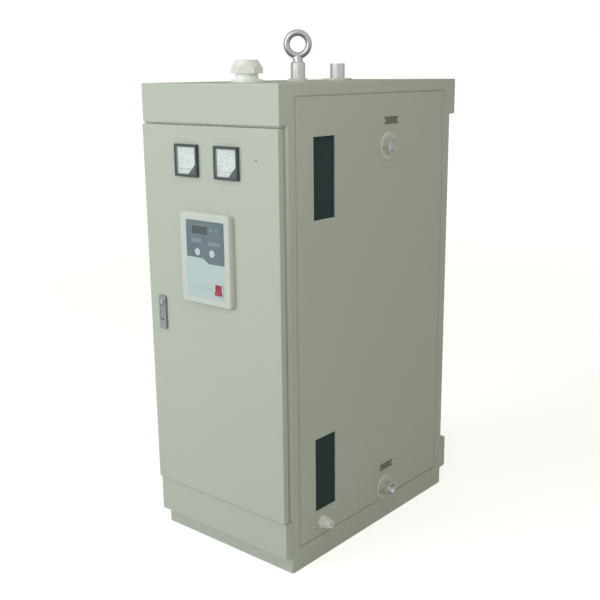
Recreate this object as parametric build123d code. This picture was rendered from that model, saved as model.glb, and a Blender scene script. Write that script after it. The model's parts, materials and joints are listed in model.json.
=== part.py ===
# Floor-standing electric industrial boiler in a folded steel cabinet.
# Frame: origin at the centre of the base on the floor, +Z up, the door faces -Y, the water ports face +X.
# All sizes are millimetres.
import math
import os

from build123d import *

# Cabinet
cabinet_width = 562
frame_depth = 847
cabinet_height = 1475
frame_sheet = 2
panel_sheet = 1.5
bend_radius = 3
corner_radius = 8
pan_corner_radius = 4
overrun = 1

# Base frame and floor
base_height = 74
base_flange = 40
base_sheet = 3
cross_rail_width = 80
floor_sheet = 2
floor_clearance = 1

# Corner posts, header and sill
front_post_width = 36
rear_post_width = 41
post_face_width = 40
post_return = 17
landing_lip = 20
cross_member_flange = 25
header_height = 115
sill_height = 126

# Roof and inset panels
roof_edge = 35
roof_lip = 15
panel_depth = 15
panel_clearance = 0.2

# Fascia and kick bands, front and rear
stand_off = 28
fascia_stand_off = 32
band_height = 116
kick_lift = 58

# Partition that carries the electrical equipment
partition_setback = 272
partition_flange = 20
partition_clearance = 1

# Side vents
vent_width = 98
vent_height = 240
vent_setback = 162
upper_vent_drop = 271
lower_vent_height = 285
filter_rim = 10
filter_thickness = 8
filter_recess = 6

# Water ports
pipe_diameter = 48.3
pipe_wall = 3.2
pipe_run = 90
pipe_hole_clearance = 3
port_setback = 483
outlet_drop = 199
outlet_stand = 18
inlet_height = 113
inlet_stand = 30
socket_collar = 12
socket_collar_wall = 2.5
rosette_diameter = 90
rosette_thickness = 5
rosette_chamfer = 2.5
seat_clearance = 0.1

# Cable gland
gland_setback = 144
gland_height = 121
gland_hex = 36
gland_hex_length = 8
gland_nut_diameter = 34
gland_dome_diameter = 25
gland_length = 38
gland_bore = 13
gland_thread_diameter = 28
gland_thread_length = 14
gland_hole_clearance = 0.3

# Roof fittings
filler_setback = 143
filler_flange_diameter = 95
filler_flange_thickness = 8
filler_neck_diameter = 69
filler_neck_wall = 6
filler_neck_top = 57
filler_neck_below = 20
filler_hole_clearance = 0.5
cap_across_flats = 84
cap_lift = 25
cap_height = 40
cap_top_diameter = 66
cap_shoulder = 25
cap_turn = 40
cap_thread_clearance = 1

eye_setback = 379
eye_ring_diameter = 90
eye_bar_diameter = 20
eye_rise = 158
eye_turn = 40
eye_neck_diameter = 27
eye_stud_diameter = 24
eye_stud_length = 35
eye_shoulder_width = 38
socket_diameter = 46
socket_chamfer = 5
socket_top = 60
socket_foot_diameter = 73
socket_foot_top_diameter = 54
socket_foot_thickness = 9
stud_clearance = 0.2

stub_setback = 583
stub_rise = 54
stub_below = 60
stub_rosette_diameter = 97
stub_rosette_thickness = 6
stub_hole_clearance = 1

# Door and its pivots
door_gap = 5
door_proud = 8
door_depth = 20
door_lip = 12
pivot_inset = 8
pivot_depth = 7
pivot_diameter = 6
pivot_head_diameter = 8
pivot_head_thickness = 3
pivot_reach = 12
pivot_seat_clearance = 0.05
pivot_running_clearance = 0.1

# Panel meters
instrument_offset = 1
meter_pitch = 166
meter_drop = 102.5
meter_size = 96
meter_bezel_depth = 10
meter_edge_radius = 1.5
meter_border = 8
meter_ledge = 2
meter_window_recess = 2
meter_window_thickness = 1.2
meter_dial_depth = 6
meter_dial_thickness = 1
meter_corner_leg = 30
meter_cutout = 92
meter_body_size = 90
meter_body_depth = 40
meter_fit_clearance = 0.2

# Control unit
control_drop = 392
control_offset = -5
control_width = 210
control_height = 280
control_depth = 18
control_corner_radius = 12
control_edge_radius = 6
overlay_x = 4
overlay_width = 160
overlay_height = 234
overlay_corner_radius = 4
overlay_recess = 1.2
overlay_thickness = 0.8
overlay_clearance = 0.3
display_width = 65
display_height = 24
display_x = -22
display_y = 88
display_clearance = 0.2
key_diameter = 22
key_rise = 0.8
key_place_shares = [(-0.209, 0.09), (0.173, 0.09)]

# Rocker switch in the control unit
switch_x = 52.5
switch_y = -87
switch_flange_width = 36
switch_flange_height = 41
switch_flange_thickness = 2
switch_wall = 2
switch_floor = 1.5
rocker_width = 26
rocker_height = 30
rocker_slope = 10
rocker_crown = 2
rocker_root_width = 14
rocker_root_depth = 7
rocker_side_clearance = 0.5
rocker_end_clearance = 1.4
rocker_floor_clearance = 4
trunnion_diameter = 3
trunnion_length = 1.2
trunnion_clearance = 0.05
trunnion_end_clearance = 0.2

# Door lock
lock_inset = 62
lock_height = 585
lock_width = 30
lock_length = 110
lock_thickness = 8
lock_corner_radius = 6
lock_edge_radius = 1.5
lock_button_y = 35
lock_button_diameter = 18
lock_button_rise = 3
lock_button_chamfer = 1
lever_pivot_y = -21
lever_reach = 45
lever_width = 18
lever_thickness = 5.8
lever_tip_rise = 1.5
lever_tip_length = 10
lever_side_clearance = 0.5
lever_end_clearance = 0.7
lever_floor = 1.2
lever_floor_clearance = 0.5
lever_pin_diameter = 3
lever_pin_reach = 3.5

# Places worked out from the sizes above
half_width = cabinet_width / 2
half_depth = frame_depth / 2
floor_top = base_height + floor_sheet
panel_gap = bend_radius + panel_clearance
roof_underside = cabinet_height - frame_sheet
rail_bottom = cabinet_height - roof_edge
fascia_bottom = cabinet_height - band_height
kick_top = kick_lift + band_height
door_bottom = kick_top + door_gap
door_top = fascia_bottom - door_gap
door_height = door_top - door_bottom
pipe_radius = pipe_diameter / 2
pipe_bore_radius = pipe_radius - pipe_wall
pivot_x = half_width - pivot_inset
pivot_y = -half_depth - stand_off + pivot_depth
FOOT = (Align.CENTER, Align.CENTER, Align.MIN)

# Each face's plane has local x along the face, local y up and local z outwards.
front_face = Plane((0, -half_depth, 0), x_dir=(1, 0, 0), z_dir=(0, -1, 0))
rear_face = Plane((0, half_depth, 0), x_dir=(-1, 0, 0), z_dir=(0, 1, 0))
right_face = Plane((half_width, 0, 0), x_dir=(0, 1, 0), z_dir=(1, 0, 0))
left_face = Plane((-half_width, 0, 0), x_dir=(0, -1, 0), z_dir=(-1, 0, 0))
door_front = -half_depth - stand_off - door_proud
door_face = Plane((0, door_front, 0), x_dir=(1, 0, 0), z_dir=(0, -1, 0))

parts = {}


def block(low, high):
    """Box between two opposite corners."""
    size = [b - a for a, b in zip(low, high)]
    return Pos(*low) * Box(*size, align=(Align.MIN, Align.MIN, Align.MIN))


def column(radius, bottom, top):
    """Round bar about the local z axis."""
    return Pos(0, 0, bottom) * Cylinder(radius, top - bottom, align=FOOT)


def tube(radius, bore_radius, bottom, top):
    """Round tube about the local z axis."""
    return column(radius, bottom, top) - column(bore_radius, bottom - overrun, top + overrun)


def pan(width, height, depth, sheet, corner=pan_corner_radius):
    """Folded sheet pan: its rim lies on the local xy plane and its face looks along +z."""
    blank = extrude(RectangleRounded(width, height, corner), depth)
    blank = fillet(blank.edges().group_by(Axis.Z)[-1], bend_radius)
    return offset(blank, -sheet, openings=blank.faces().sort_by(Axis.Z)[0])


def rim_lip(width, height, lip, sheet, corner=pan_corner_radius):
    """Lip turned inwards round the rim of a pan."""
    outline = RectangleRounded(width - sheet, height - sheet, corner - sheet / 2)
    mouth = Rectangle(width - 2 * sheet - 2 * lip, height - 2 * sheet - 2 * lip)
    return extrude(outline - mouth, sheet)


def folded(points, sheet, corner=None):
    """Section of a folded sheet whose outer face follows the points, with the metal on their left.

    The point named by corner takes the frame's larger corner radius.
    """
    radii = [corner_radius if point == corner else bend_radius for point in points[1:-1]]
    return make_face(offset(FilletPolyline(*points, radius=radii), sheet, side=Side.LEFT))


def setback(distance):
    """Y of a place measured back from the front of the frame."""
    return distance - half_depth


# Base: four mitred channel rails, one cross rail and the floor plate
def base_ring():
    outer = Box(cabinet_width, frame_depth, base_height, align=FOOT)
    outer = fillet(outer.edges().filter_by(Axis.Z), corner_radius)
    web_width = cabinet_width - 2 * base_sheet
    web_depth = frame_depth - 2 * base_sheet
    channel = Pos(0, 0, base_sheet) * Box(web_width, web_depth, base_height - 2 * base_sheet, align=FOOT)
    channel = fillet(channel.edges().filter_by(Axis.Z), corner_radius - base_sheet)
    mouth_size = (cabinet_width - 2 * base_flange, frame_depth - 2 * base_flange)
    mouth = Pos(0, 0, -overrun) * Box(*mouth_size, base_height + 2 * overrun, align=FOOT)
    return outer - channel - mouth


def mitre_prism(corners):
    return extrude(make_face(Polyline(*corners, close=True)), base_height)


ring = base_ring()
inner_x = half_width - base_flange
inner_y = half_depth - base_flange
front_mitre = [(-half_width, -half_depth), (half_width, -half_depth), (inner_x, -inner_y), (-inner_x, -inner_y)]
right_mitre = [(half_width, -half_depth), (half_width, half_depth), (inner_x, inner_y), (inner_x, -inner_y)]
parts["base_rail_front"] = ring & mitre_prism(front_mitre)
parts["base_rail_right"] = ring & mitre_prism(right_mitre)
parts["base_rail_rear"] = mirror(parts["base_rail_front"], about=Plane.XZ)
parts["base_rail_left"] = mirror(parts["base_rail_right"], about=Plane.YZ)

cross_half = cross_rail_width / 2
cross_section = [
    (cross_half, base_height),
    (-cross_half, base_height),
    (-cross_half, 0),
    (cross_half, 0),
]
cross_profile = Plane((-inner_x, 0, 0), x_dir=(0, 1, 0), z_dir=(1, 0, 0)) * folded(cross_section, base_sheet)
parts["base_cross_rail"] = extrude(cross_profile, 2 * inner_x, dir=(1, 0, 0))

panel_rim_x = half_width - panel_depth
panel_rim_y = half_depth - panel_depth
front_lip_y = -half_depth + front_post_width + landing_lip
rear_lip_y = half_depth - rear_post_width - landing_lip
face_inner_x = half_width - post_face_width
rear_lip_x = face_inner_x - landing_lip
floor_half = panel_rim_x - frame_sheet - floor_clearance
floor_front = -half_depth + cross_member_flange + floor_clearance
floor_rear = panel_rim_y - frame_sheet - floor_clearance
floor = block((-floor_half, floor_front, base_height), (floor_half, floor_rear, floor_top))
for side in (-1, 1):
    front_inner = side * (face_inner_x - floor_clearance)
    rear_inner = side * (rear_lip_x - floor_clearance)
    outer_x = side * half_width
    front_notch = block(
        (min(front_inner, outer_x), -half_depth, base_height - overrun),
        (max(front_inner, outer_x), front_lip_y + floor_clearance, floor_top + overrun),
    )
    rear_notch = block(
        (min(rear_inner, outer_x), rear_lip_y - floor_clearance, base_height - overrun),
        (max(rear_inner, outer_x), half_depth, floor_top + overrun),
    )
    floor = floor - front_notch - rear_notch
parts["floor_plate"] = floor

# Posts: folded sections with a landing lip for each inset panel
front_corner = (half_width, -half_depth)
rear_corner = (half_width, half_depth)
front_post_path = [
    (face_inner_x, -half_depth + post_return),
    (face_inner_x, -half_depth),
    front_corner,
    (half_width, -half_depth + front_post_width),
    (panel_rim_x, -half_depth + front_post_width),
    (panel_rim_x, front_lip_y),
]
rear_post_path = [
    (panel_rim_x, rear_lip_y),
    (panel_rim_x, half_depth - rear_post_width),
    (half_width, half_depth - rear_post_width),
    rear_corner,
    (face_inner_x, half_depth),
    (face_inner_x, panel_rim_y),
    (rear_lip_x, panel_rim_y),
]
post_length = rail_bottom - base_height
for place, path, corner in (("front", front_post_path, front_corner), ("rear", rear_post_path, rear_corner)):
    post = Pos(0, 0, base_height) * extrude(folded(path, frame_sheet, corner), post_length)
    parts[f"post_{place}_right"] = post
    parts[f"post_{place}_left"] = mirror(post, about=Plane.YZ)


# Header and sill close the frame above and below the door opening
def cross_member(bottom, top):
    path = [
        (-half_depth + cross_member_flange, top),
        (-half_depth, top),
        (-half_depth, bottom),
        (-half_depth + cross_member_flange, bottom),
    ]
    section = Plane((-face_inner_x, 0, 0), x_dir=(0, 1, 0), z_dir=(1, 0, 0)) * folded(path, frame_sheet)
    return extrude(section, 2 * face_inner_x, dir=(1, 0, 0))


parts["front_header"] = cross_member(rail_bottom - header_height, rail_bottom)
parts["front_sill"] = cross_member(base_height, base_height + sill_height)

# Roof: a shallow pan with a lip, pierced for the filler neck and the vent stub
filler_hole_radius = filler_neck_diameter / 2 + filler_hole_clearance
stub_hole_radius = pipe_radius + stub_hole_clearance
roof = pan(cabinet_width, frame_depth, roof_edge, frame_sheet, corner_radius)
roof = roof + rim_lip(cabinet_width, frame_depth, roof_lip, frame_sheet, corner_radius)
roof = Pos(0, 0, rail_bottom) * roof
for place, radius in ((filler_setback, filler_hole_radius), (stub_setback, stub_hole_radius)):
    roof = roof - Pos(0, setback(place), 0) * column(radius, roof_underside - overrun, cabinet_height + overrun)
parts["roof"] = roof

# Inset panels: the two sides carry the vents, the right one the ports and the gland too
panel_bottom = base_height + panel_gap
panel_height = rail_bottom - panel_gap - panel_bottom
panel_mid = panel_bottom + panel_height / 2
side_front = -half_depth + front_post_width + panel_gap
side_rear = half_depth - rear_post_width - panel_gap
side_length = side_rear - side_front
side_mid = (side_front + side_rear) / 2
vent_levels = (cabinet_height - upper_vent_drop, lower_vent_height)
ports = {
    "outlet_pipe": (cabinet_height - outlet_drop, outlet_stand),
    "inlet_pipe": (inlet_height, inlet_stand),
}


def side_panel(hand):
    """Side panel in its face's plane; hand is 1 where local x runs to the rear and -1 where it runs forward."""
    sheet = Pos(hand * side_mid, panel_mid, -panel_depth) * pan(side_length, panel_height, panel_depth, panel_sheet)
    window = Box(vent_width, vent_height, 2 * (panel_sheet + overrun))
    for level in vent_levels:
        sheet = sheet - Pos(hand * setback(vent_setback), level, 0) * window
    return sheet


def vent_filters(hand):
    """Filter pads in rimmed trays, held against the inside of the side panel."""
    tray_depth = filter_recess + filter_thickness
    tray = Box(vent_width + 2 * filter_rim, vent_height + 2 * filter_rim, tray_depth, align=FOOT)
    pocket = Pos(0, 0, filter_thickness) * Box(vent_width, vent_height, tray_depth, align=FOOT)
    pad = tray - pocket
    depth = -panel_sheet - tray_depth
    pads = [Pos(hand * setback(vent_setback), level, depth) * pad for level in vent_levels]
    return Compound(pads)


right_panel = side_panel(1)
for level, stand in ports.values():
    hole = column(pipe_radius + pipe_hole_clearance, -panel_sheet - overrun, overrun)
    right_panel = right_panel - Pos(setback(port_setback), level, 0) * hole
gland_hole_radius = gland_thread_diameter / 2 + gland_hole_clearance
gland_hole = column(gland_hole_radius, -panel_sheet - overrun, overrun)
right_panel = right_panel - Pos(setback(gland_setback), gland_height, 0) * gland_hole
parts["side_panel_right"] = right_face * right_panel
parts["side_panel_left"] = left_face * side_panel(-1)
parts["vent_filters_right"] = right_face * vent_filters(1)
parts["vent_filters_left"] = left_face * vent_filters(-1)

rear_width = 2 * (face_inner_x - panel_gap)
rear_pan = pan(rear_width, panel_height, panel_depth, panel_sheet)
parts["rear_panel"] = rear_face * Pos(0, panel_mid, -panel_depth) * rear_pan

partition_width = 2 * (panel_rim_x - frame_sheet - partition_clearance)
partition_height = roof_underside - floor_top
partition = pan(partition_width, partition_height, partition_flange, frame_sheet)
partition_place = Pos(0, floor_top + partition_height / 2, -partition_setback - partition_flange)
parts["mounting_plate"] = front_face * partition_place * partition

# Fascia and kick bands; the front pair carries the door's pivots
band = pan(cabinet_width, band_height, stand_off, panel_sheet)
fascia = pan(cabinet_width, band_height, fascia_stand_off, panel_sheet)
fascia_place = Pos(0, fascia_bottom + band_height / 2, 0)
kick_place = Pos(0, kick_lift + band_height / 2, 0)
pivot_axis = Pos(pivot_x, pivot_y, 0)
pivot_radius = pivot_diameter / 2
seat_radius = pivot_radius + pivot_seat_clearance
fascia_seat = pivot_axis * column(seat_radius, fascia_bottom - overrun, fascia_bottom + panel_sheet + overrun)
kick_seat = pivot_axis * column(seat_radius, kick_top - panel_sheet - overrun, kick_top + overrun)
parts["front_fascia"] = front_face * fascia_place * fascia - fascia_seat
parts["front_kick"] = front_face * kick_place * band - kick_seat
parts["rear_fascia"] = rear_face * fascia_place * band
parts["rear_kick"] = rear_face * kick_place * band

head_radius = pivot_head_diameter / 2
upper_head = fascia_bottom + panel_sheet
upper_pin = column(pivot_radius, door_top - panel_sheet - pivot_reach, upper_head)
upper_pin = upper_pin + column(head_radius, upper_head, upper_head + pivot_head_thickness)
lower_pin = column(pivot_radius, kick_top - panel_sheet - pivot_reach, door_bottom + panel_sheet + pivot_reach)
lower_pin = lower_pin + column(head_radius, kick_top, door_bottom - pivot_running_clearance)
parts["door_pivot_pins"] = Compound([pivot_axis * upper_pin, pivot_axis * lower_pin])


# Water ports: threaded socket ends that stand out through rosettes
def port_pipe(stand):
    collar_radius = pipe_radius + socket_collar_wall
    pipe = tube(pipe_radius, pipe_bore_radius, -pipe_run, stand)
    collar = tube(collar_radius, pipe_bore_radius, stand - socket_collar, stand)
    return pipe + collar


def rosette(diameter, thickness, bore_radius):
    disc = column(diameter / 2, 0, thickness)
    disc = chamfer(disc.edges().group_by(Axis.Z)[-1], rosette_chamfer)
    return disc - column(bore_radius, -overrun, thickness + overrun)


pipe_seat_radius = pipe_radius + seat_clearance
port_rosettes = []
for name, (level, stand) in ports.items():
    place = Pos(setback(port_setback), level, 0)
    parts[name] = right_face * place * port_pipe(stand)
    port_rosettes.append(right_face * place * rosette(rosette_diameter, rosette_thickness, pipe_seat_radius))
parts["port_rosettes"] = Compound(port_rosettes)


# Cable gland: hexagon body, domed clamping nut and a threaded spigot through the panel
def cable_gland():
    hexagon = extrude(RegularPolygon(gland_hex / 2, side_count=6, major_radius=False), gland_hex_length)
    nut_radius = gland_nut_diameter / 2
    dome_radius = gland_dome_diameter / 2
    dome_start = (gland_hex_length + gland_length) / 2
    outline = Polyline(
        (0, gland_hex_length),
        (nut_radius, gland_hex_length),
        (nut_radius, dome_start),
        (dome_radius, gland_length),
        (0, gland_length),
        close=True,
    )
    nut = revolve(Plane.XZ * make_face(outline), Axis.Z)
    spigot = column(gland_thread_diameter / 2, -gland_thread_length, 0)
    bore = column(gland_bore / 2, -gland_thread_length - overrun, gland_length + overrun)
    return hexagon + nut + spigot - bore


parts["cable_gland"] = right_face * Pos(setback(gland_setback), gland_height, 0) * cable_gland()

# Roof fittings
filler_place = Pos(0, setback(filler_setback), cabinet_height)
neck_radius = filler_neck_diameter / 2
neck_bore_radius = neck_radius - filler_neck_wall
filler_neck = tube(neck_radius, neck_bore_radius, -filler_neck_below, filler_neck_top)
filler_neck = filler_neck + tube(filler_flange_diameter / 2, neck_bore_radius, 0, filler_flange_thickness)
parts["filler_neck"] = filler_place * filler_neck
cap = extrude(RegularPolygon(cap_across_flats / 2, side_count=6, major_radius=False), cap_height)
cap_corner_radius = cap_across_flats / math.sqrt(3)
shoulder_height = cap_height - cap_shoulder
cap_turning = Polyline(
    (0, 0),
    (cap_corner_radius, 0),
    (cap_corner_radius, shoulder_height),
    (cap_top_diameter / 2, cap_height),
    (0, cap_height),
    close=True,
)
cap = cap & revolve(Plane.XZ * make_face(cap_turning), Axis.Z)
cap = Pos(0, 0, cap_lift) * Rot(0, 0, cap_turn) * cap
cap = cap - column(neck_radius + cap_thread_clearance, cap_lift - overrun, filler_neck_top)
parts["filler_cap"] = filler_place * cap

eye_place = Pos(0, setback(eye_setback), cabinet_height)
bar_radius = eye_bar_diameter / 2
ring_radius = (eye_ring_diameter - eye_bar_diameter) / 2
ring_height = eye_rise - eye_ring_diameter / 2
shoulder_top = ring_height - ring_radius
neck_section = Pos(0, 0, socket_top) * Circle(eye_neck_diameter / 2)
shoulder_section = Pos(0, 0, shoulder_top) * Ellipse(eye_shoulder_width / 2, bar_radius)
eye = Pos(0, 0, ring_height) * Rot(90, 0, 0) * Torus(ring_radius, bar_radius)
eye = eye + loft([neck_section, shoulder_section])
eye = eye + column(eye_stud_diameter / 2, socket_top - eye_stud_length, socket_top)
parts["lifting_eye"] = eye_place * Rot(0, 0, eye_turn) * eye

socket = column(socket_diameter / 2, socket_foot_thickness, socket_top)
socket = chamfer(socket.edges().group_by(Axis.Z)[-1], socket_chamfer)
stud_hole_radius = eye_stud_diameter / 2 + stud_clearance
socket = socket - column(stud_hole_radius, socket_top - eye_stud_length - overrun, socket_top + overrun)
parts["eye_socket"] = eye_place * socket

stub_place = Pos(0, setback(stub_setback), cabinet_height)
parts["vent_stub"] = stub_place * tube(pipe_radius, pipe_bore_radius, -stub_below, stub_rise)
socket_foot = Cone(socket_foot_diameter / 2, socket_foot_top_diameter / 2, socket_foot_thickness, align=FOOT)
stub_rosette = rosette(stub_rosette_diameter, stub_rosette_thickness, pipe_seat_radius)
parts["roof_rosettes"] = Compound([eye_place * socket_foot, stub_place * stub_rosette])

# Door: a lipped pan with pivot holes and cut-outs for the meters
meter_level = door_top - meter_drop
meter_places = [
    Pos(instrument_offset + side * meter_pitch / 2, meter_level, 0) for side in (-1, 1)
]
door = pan(cabinet_width, door_height, door_depth, panel_sheet)
door = door + rim_lip(cabinet_width, door_height, door_lip, panel_sheet)
door = door_face * Pos(0, door_bottom + door_height / 2, -door_depth) * door
running_radius = pivot_radius + pivot_running_clearance
door = door - pivot_axis * column(running_radius, door_top - panel_sheet - overrun, door_top + overrun)
door = door - pivot_axis * column(running_radius, door_bottom - overrun, door_bottom + panel_sheet + overrun)
for place in meter_places:
    door = door - door_face * place * Box(meter_cutout, meter_cutout, 2 * (panel_sheet + overrun))
parts["door_panel"] = door


# Panel meters: square cases with a dark corner over the movement, a dial plate and a clear window
def meter_corner(height):
    """Triangle over the lower right corner of the dial."""
    edge = meter_size / 2 - meter_border
    inner = edge - meter_corner_leg
    corner = Polyline((edge, -edge), (edge, -inner), (inner, -edge), close=True)
    return extrude(make_face(corner), height)


meter_window_bottom = meter_bezel_depth - meter_window_recess
meter_dial_bottom = meter_window_bottom - meter_dial_depth
dial_size = meter_size - 2 * meter_border
window_size = dial_size + 2 * meter_ledge


def meter_case():
    bezel = Box(meter_size, meter_size, meter_bezel_depth, align=FOOT)
    levels = bezel.edges().group_by(Axis.Z)
    bezel = fillet(levels[1] + levels[2], meter_edge_radius)
    well = Pos(0, 0, meter_dial_bottom) * Box(dial_size, dial_size, meter_bezel_depth, align=FOOT)
    rebate = Pos(0, 0, meter_window_bottom) * Box(window_size, window_size, meter_bezel_depth, align=FOOT)
    corner = Pos(0, 0, meter_dial_bottom) * meter_corner(meter_dial_depth)
    back_depth = panel_sheet + meter_body_depth
    back = Pos(0, 0, -back_depth) * Box(meter_body_size, meter_body_size, back_depth, align=FOOT)
    return bezel - well - rebate + corner + back


def meter_dial():
    size = dial_size - 2 * meter_fit_clearance
    plate = Box(size, size, meter_dial_thickness, align=FOOT) - meter_corner(meter_dial_thickness)
    return Pos(0, 0, meter_dial_bottom) * plate


def meter_window():
    size = window_size - 2 * meter_fit_clearance
    return Pos(0, 0, meter_window_bottom) * Box(size, size, meter_window_thickness, align=FOOT)


for name, shape in (("cases", meter_case()), ("dials", meter_dial()), ("windows", meter_window())):
    parts[f"meter_{name}"] = Compound([door_face * place * shape for place in meter_places])

# Control unit: a rounded frame with a recessed membrane, a display window and a rocker switch
control_place = Pos(control_offset, door_top - control_drop, 0)
overlay_place = control_place * Pos(overlay_x, 0, 0)
overlay_bottom = control_depth - overlay_recess
overlay_top = overlay_bottom + overlay_thickness
switch_place = overlay_place * Pos(switch_x, switch_y, 0)
display_place = Pos(display_x, display_y, 0)
rocker_well_width = rocker_width + 2 * rocker_side_clearance
rocker_well_height = rocker_height + 2 * rocker_end_clearance
switch_body_width = rocker_well_width + 2 * switch_wall
switch_body_height = rocker_well_height + 2 * switch_wall
switch_front = overlay_top + switch_flange_thickness
rocker_axis_height = switch_front - rocker_crown
well_floor = rocker_axis_height - rocker_root_depth - rocker_floor_clearance
switch_bottom = well_floor - switch_floor


def switch_hole(bottom):
    """Opening that the switch body passes through."""
    size = (switch_body_width + 2 * overlay_clearance, switch_body_height + 2 * overlay_clearance)
    return Pos(switch_x, switch_y, bottom) * Box(*size, control_depth + overrun, align=FOOT)


housing = Box(control_width, control_height, control_depth, align=FOOT)
housing = fillet(housing.edges().filter_by(Axis.Z), control_corner_radius)
housing = fillet(housing.edges().group_by(Axis.Z)[-1], control_edge_radius)
recess_outline = RectangleRounded(overlay_width, overlay_height, overlay_corner_radius)
recess = Pos(overlay_x, 0, overlay_bottom) * extrude(recess_outline, overlay_recess + overrun)
switch_cut = Pos(overlay_x, 0, 0) * switch_hole(-overrun)
parts["control_housing"] = door_face * control_place * (housing - recess - switch_cut)

membrane_size = (overlay_width - 2 * overlay_clearance, overlay_height - 2 * overlay_clearance)
membrane = extrude(RectangleRounded(*membrane_size, overlay_corner_radius), overlay_thickness)
display_cut = Box(
    display_width + 2 * display_clearance,
    display_height + 2 * display_clearance,
    2 * (overlay_thickness + overrun),
)
membrane = membrane - display_place * display_cut - switch_hole(-overrun)
for across, up in key_place_shares:
    key = column(key_diameter / 2, 0, overlay_thickness + key_rise)
    key = chamfer(key.edges().group_by(Axis.Z)[-1], key_rise / 2)
    membrane = membrane + Pos(across * overlay_width, up * overlay_height, 0) * key
parts["control_overlay"] = door_face * overlay_place * Pos(0, 0, overlay_bottom) * membrane
display = Box(display_width, display_height, overlay_thickness, align=FOOT)
parts["display_window"] = door_face * overlay_place * display_place * Pos(0, 0, overlay_bottom) * display

flange = Box(switch_flange_width, switch_flange_height, switch_flange_thickness, align=FOOT)
flange = fillet(flange.edges().filter_by(Axis.Z), bend_radius)
body = Box(switch_body_width, switch_body_height, overlay_top - switch_bottom, align=FOOT)
well = Box(rocker_well_width, rocker_well_height, control_depth, align=FOOT)
trunnion_hole = Cylinder(
    trunnion_diameter / 2 + trunnion_clearance,
    rocker_well_width + 2 * trunnion_length,
    rotation=(0, 90, 0),
)
bezel = Pos(0, 0, overlay_top) * flange + Pos(0, 0, switch_bottom) * body
bezel = bezel - Pos(0, 0, well_floor) * well - Pos(0, 0, rocker_axis_height) * trunnion_hole
parts["switch_bezel"] = door_face * switch_place * bezel

# Rocker: a shallow V across its trunnions, at rest with its upper half pressed in
rocker_half = rocker_height / 2
rocker_tip = rocker_crown + rocker_half * math.tan(math.radians(rocker_slope))
root_half = rocker_root_width / 2
rocker_outline = Polyline(
    (-rocker_half, rocker_tip),
    (0, rocker_crown),
    (rocker_half, rocker_tip),
    (root_half, -rocker_root_depth),
    (-root_half, -rocker_root_depth),
    close=True,
)
rocker = extrude(Plane.YZ * make_face(rocker_outline), rocker_width / 2, both=True)
trunnion_span = rocker_well_width + 2 * trunnion_length - 2 * trunnion_end_clearance
rocker = rocker + Cylinder(trunnion_diameter / 2, trunnion_span, rotation=(0, 90, 0))
rocker_axis = Pos(0, 0, rocker_axis_height)
parts["power_rocker"] = door_face * switch_place * rocker_axis * Rot(-rocker_slope, 0, 0) * rocker

# Door lock: a plate with a push button and a lever that folds out on a cross pin
lock_place = Pos(lock_inset - half_width, door_bottom + lock_height, 0)
lever_axis_height = lever_floor + lever_floor_clearance + lever_thickness / 2
lever_axis = Pos(0, lever_pivot_y, lever_axis_height)
lever_radius = lever_thickness / 2
lever_well_width = lever_width + 2 * lever_side_clearance
lever_well_bottom = lever_pivot_y - lever_radius - lever_end_clearance
lever_well_top = lever_pivot_y + lever_reach + lever_end_clearance
pin_span = lever_well_width + 2 * lever_pin_reach

lock = Box(lock_width, lock_length, lock_thickness, align=FOOT)
lock = fillet(lock.edges().filter_by(Axis.Z), lock_corner_radius)
lock = fillet(lock.edges().group_by(Axis.Z)[-1], lock_edge_radius)
button = column(lock_button_diameter / 2, lock_thickness / 2, lock_thickness + lock_button_rise)
button = chamfer(button.edges().group_by(Axis.Z)[-1], lock_button_chamfer)
lever_well = block(
    (-lever_well_width / 2, lever_well_bottom, lever_floor),
    (lever_well_width / 2, lever_well_top, lock_thickness + overrun),
)
pin_hole_span = pin_span + 2 * trunnion_end_clearance
pin_hole = Cylinder(lever_pin_diameter / 2 + trunnion_clearance, pin_hole_span, rotation=(0, 90, 0))
lock = lock + Pos(0, lock_button_y, 0) * button - lever_well - lever_axis * pin_hole
parts["lock_plate"] = door_face * lock_place * lock

tip_start = lever_reach - lever_tip_length
lever_outline = Polyline(
    (0, -lever_radius),
    (lever_reach, -lever_radius),
    (lever_reach, lever_radius + lever_tip_rise),
    (tip_start, lever_radius),
    (0, lever_radius),
    close=True,
)
lever = extrude(Plane.YZ * (make_face(lever_outline) + Circle(lever_radius)), lever_width / 2, both=True)
lever = lever + Cylinder(lever_pin_diameter / 2, pin_span, rotation=(0, 90, 0))
parts["lock_lever"] = door_face * lock_place * lever_axis * lever

os.makedirs("parts", exist_ok=True)
for name, shape in parts.items():
    export_step(shape, f"parts/{name}.step")
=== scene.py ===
"""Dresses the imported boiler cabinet: stage, finishes, fasteners, trim and meter scales."""

import json
import math

import bpy
from bpy.props import FloatProperty, FloatVectorProperty, IntProperty, PointerProperty
from mathutils import Matrix, Vector


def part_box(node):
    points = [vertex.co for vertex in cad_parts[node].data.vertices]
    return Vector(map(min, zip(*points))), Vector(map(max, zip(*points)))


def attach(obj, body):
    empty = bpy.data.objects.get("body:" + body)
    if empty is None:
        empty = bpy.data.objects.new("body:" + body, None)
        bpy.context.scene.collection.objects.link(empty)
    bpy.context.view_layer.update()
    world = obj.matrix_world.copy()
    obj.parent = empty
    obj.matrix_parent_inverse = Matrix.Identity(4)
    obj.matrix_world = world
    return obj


bl_info = {
    "name": "Boiler cabinet dressing",
    "version": (1, 0, 0),
    "blender": (4, 5, 0),
    "location": "3D View > Sidebar > Boiler",
    "description": "Adds finishes and fine detail to the packed boiler cabinet",
    "category": "Object",
}

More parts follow.
